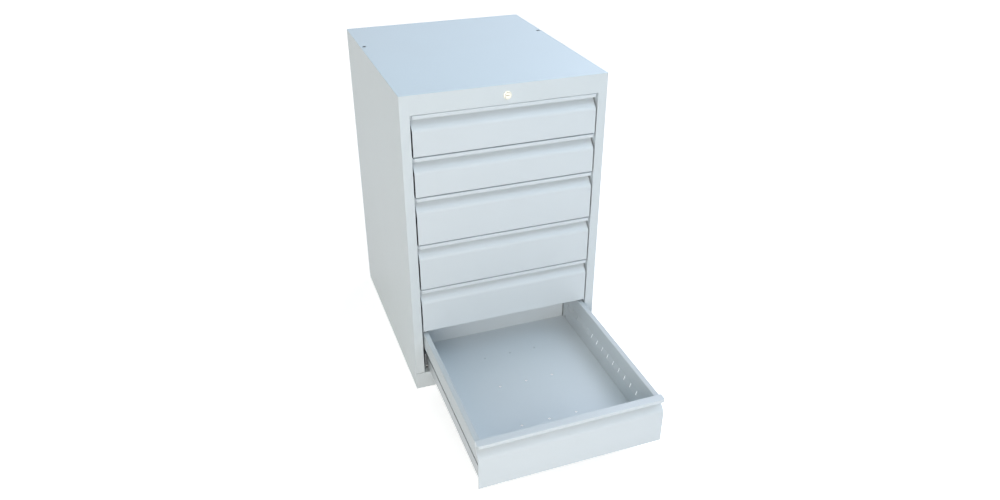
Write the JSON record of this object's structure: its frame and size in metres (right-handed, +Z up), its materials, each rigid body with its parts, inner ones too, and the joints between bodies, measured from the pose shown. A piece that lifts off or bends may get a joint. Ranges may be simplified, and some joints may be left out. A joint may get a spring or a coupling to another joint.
{
  "type": "drawer unit",
  "caption": "Sheet-steel drawer unit for tools and parts: full-width lip fronts, drawers on telescopic ball slides and a central key lock; the bottom drawer stands open.",
  "frame": {"origin": "middle of the cabinet's footprint, on the floor", "axes": "+X to the right seen from the front, +Y towards the back, +Z up"},
  "size_m": [0.5, 1.032, 0.8],
  "materials": {
    "cabinet_paint": "light grey powder coat, semi-gloss",
    "front_paint": "light grey powder coat, semi-gloss",
    "top_paint": "light blue-grey powder coat, semi-gloss",
    "drawer_paint": "light blue-grey powder coat, semi-gloss",
    "galvanised_steel": "zinc plated, satin",
    "cage_steel": "bright rolled steel",
    "bumper_plastic": "natural nylon",
    "lock_metal": "satin nickel"
  },
  "bodies": {
    "cabinet": {"left_side_panel": "cabinet_paint", "right_side_panel": "cabinet_paint", "top_panel": "top_paint", "fascia": "cabinet_paint", "plinth": "cabinet_paint", "bottom_panel": "cabinet_paint", "back_panel": "cabinet_paint", "left_uprights": "galvanised_steel", "right_uprights": "galvanised_steel", "left_cabinet_rails": "galvanised_steel", "right_cabinet_rails": "galvanised_steel", "rail_bumpers": "bumper_plastic", "lock_housing": "lock_metal", "lock_nut": "lock_metal", "lock_guides": "galvanised_steel"},
    "drawer_1": {"drawer_1_front": "front_paint", "drawer_1_pan": "drawer_paint", "drawer_1_left_side": "drawer_paint", "drawer_1_left_rail": "galvanised_steel", "drawer_1_right_side": "drawer_paint", "drawer_1_right_rail": "galvanised_steel"},
    "cages_1": {"drawer_1_ball_cages": "cage_steel"},
    "drawer_2": {"drawer_2_front": "front_paint", "drawer_2_pan": "drawer_paint", "drawer_2_left_side": "drawer_paint", "drawer_2_left_rail": "galvanised_steel", "drawer_2_right_side": "drawer_paint", "drawer_2_right_rail": "galvanised_steel"},
    "cages_2": {"drawer_2_ball_cages": "cage_steel"},
    "drawer_3": {"drawer_3_front": "front_paint", "drawer_3_pan": "drawer_paint", "drawer_3_left_side": "drawer_paint", "drawer_3_left_rail": "galvanised_steel", "drawer_3_right_side": "drawer_paint", "drawer_3_right_rail": "galvanised_steel"},
    "cages_3": {"drawer_3_ball_cages": "cage_steel"},
    "drawer_4": {"drawer_4_front": "front_paint", "drawer_4_pan": "drawer_paint", "drawer_4_left_side": "drawer_paint", "drawer_4_left_rail": "galvanised_steel", "drawer_4_right_side": "drawer_paint", "drawer_4_right_rail": "galvanised_steel"},
    "cages_4": {"drawer_4_ball_cages": "cage_steel"},
    "drawer_5": {"drawer_5_front": "front_paint", "drawer_5_pan": "drawer_paint", "drawer_5_left_side": "drawer_paint", "drawer_5_left_rail": "galvanised_steel", "drawer_5_right_side": "drawer_paint", "drawer_5_right_rail": "galvanised_steel"},
    "cages_5": {"drawer_5_ball_cages": "cage_steel"},
    "drawer_6": {"drawer_6_front": "front_paint", "drawer_6_pan": "drawer_paint", "drawer_6_left_side": "drawer_paint", "drawer_6_left_rail": "galvanised_steel", "drawer_6_right_side": "drawer_paint", "drawer_6_right_rail": "galvanised_steel"},
    "cages_6": {"drawer_6_ball_cages": "cage_steel"},
    "lock_cylinder": {"lock_plug": "lock_metal", "lock_rod": "galvanised_steel"},
    "lock_bar": {"lock_bar": "galvanised_steel"}
  },
  "joints": [
    {"name": "drawer_1_slide", "type": "slide", "parent": "cabinet", "child": "drawer_1", "axis": [0, -1, 0], "range_m": [0, 0.432]},
    {"name": "cages_1_slide", "type": "slide", "parent": "cabinet", "child": "cages_1", "axis": [0, -1, 0], "range_m": [0, 0.216]},
    {"name": "drawer_2_slide", "type": "slide", "parent": "cabinet", "child": "drawer_2", "axis": [0, -1, 0], "range_m": [0, 0.432]},
    {"name": "cages_2_slide", "type": "slide", "parent": "cabinet", "child": "cages_2", "axis": [0, -1, 0], "range_m": [0, 0.216]},
    {"name": "drawer_3_slide", "type": "slide", "parent": "cabinet", "child": "drawer_3", "axis": [0, -1, 0], "range_m": [0, 0.432]},
    {"name": "cages_3_slide", "type": "slide", "parent": "cabinet", "child": "cages_3", "axis": [0, -1, 0], "range_m": [0, 0.216]},
    {"name": "drawer_4_slide", "type": "slide", "parent": "cabinet", "child": "drawer_4", "axis": [0, -1, 0], "range_m": [0, 0.432]},
    {"name": "cages_4_slide", "type": "slide", "parent": "cabinet", "child": "cages_4", "axis": [0, -1, 0], "range_m": [0, 0.216]},
    {"name": "drawer_5_slide", "type": "slide", "parent": "cabinet", "child": "drawer_5", "axis": [0, -1, 0], "range_m": [0, 0.432]},
    {"name": "cages_5_slide", "type": "slide", "parent": "cabinet", "child": "cages_5", "axis": [0, -1, 0], "range_m": [0, 0.216]},
    {"name": "drawer_6_slide", "type": "slide", "parent": "cabinet", "child": "drawer_6", "axis": [0, -1, 0], "range_m": [-0.432, 0]},
    {"name": "cages_6_slide", "type": "slide", "parent": "cabinet", "child": "cages_6", "axis": [0, -1, 0], "range_m": [-0.216, 0]},
    {"name": "key_turn", "type": "hinge", "parent": "cabinet", "child": "lock_cylinder", "pos_m": [0, -0.3, 0.7745], "axis": [0, 1, 0], "range_deg": [0, 90]},
    {"name": "lock_bar_slide", "type": "slide", "parent": "cabinet", "child": "lock_bar", "axis": [0, 0, -1], "range_m": [0, 0.01202]}
  ],
  "couplings": [
    {"joint": "cages_1_slide", "follows": "drawer_1_slide", "ratio": 0.5},
    {"joint": "cages_2_slide", "follows": "drawer_2_slide", "ratio": 0.5},
    {"joint": "cages_3_slide", "follows": "drawer_3_slide", "ratio": 0.5},
    {"joint": "cages_4_slide", "follows": "drawer_4_slide", "ratio": 0.5},
    {"joint": "cages_5_slide", "follows": "drawer_5_slide", "ratio": 0.5},
    {"joint": "cages_6_slide", "follows": "drawer_6_slide", "ratio": 0.5},
    {"joint": "key_turn", "follows": "lock_bar_slide", "rad_per_m": 130.68}
  ]
}
